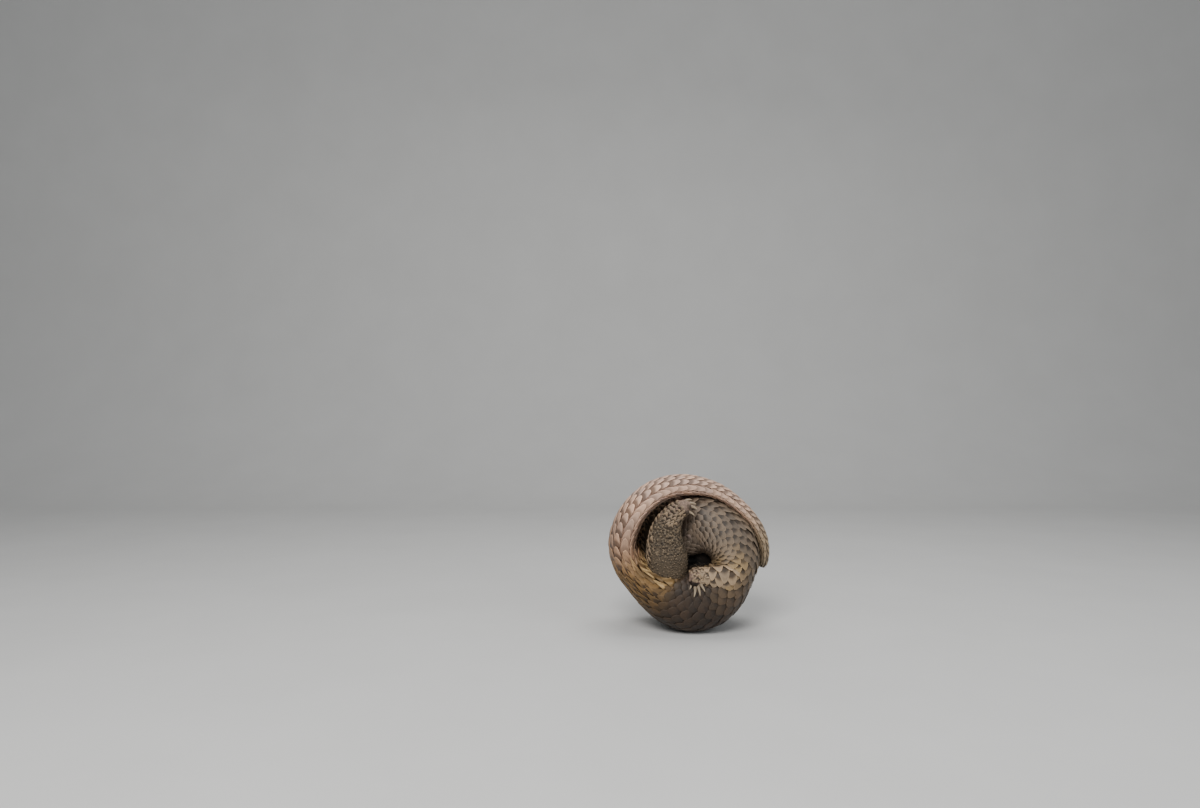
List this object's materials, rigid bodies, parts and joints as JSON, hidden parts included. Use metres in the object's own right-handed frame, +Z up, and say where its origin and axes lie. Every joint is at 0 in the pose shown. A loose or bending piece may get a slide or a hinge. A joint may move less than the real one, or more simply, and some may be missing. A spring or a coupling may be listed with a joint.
{
  "type": "pangolin",
  "caption": "Life-size still model of a Sunda pangolin rolled up, tail over its head, resting on its back with its legs folded in.",
  "frame": {"origin": "on the floor, under the middle of the rolled-up animal's box", "axes": "+Z up; the spine lies in the plane Y = 0; -Y is the animal's left side, the side that the picture shows; +X is to the right seen from there"},
  "size_m": [0.2332, 0.1458, 0.2201],
  "materials": {
    "scales": "horn scales, grey brown, satin",
    "scales_dark": "horn scales, dark brown, satin",
    "scales_pale": "horn scales, pinkish beige, worn",
    "scales_ochre": "horn scales, ochre brown, satin",
    "hide": "thick granular skin with small scales",
    "skin": "bare skin of the feet, with horn claws",
    "ear_skin": "soft bare skin",
    "eye": "wet black"
  },
  "bodies": {
    "root": {"head": "scales", "neck": "scales", "torso_front": "scales_dark", "torso_middle": "scales_dark", "rump": "scales_ochre", "tail_1": "scales_pale", "tail_2": "scales_pale", "tail_3": "scales_pale", "tail_4": "scales_pale", "tail_5": "scales_pale", "tail_6": "scales_dark", "hind_leg_left": "hide", "hind_foot_left": "skin", "foreleg_left": "scales", "forefoot_left": "skin", "eye_left": "eye", "ear_left": "ear_skin", "hind_leg_right": "hide", "hind_foot_right": "skin", "foreleg_right": "scales", "forefoot_right": "skin", "eye_right": "eye", "ear_right": "ear_skin"}
  },
  "joints": []
}
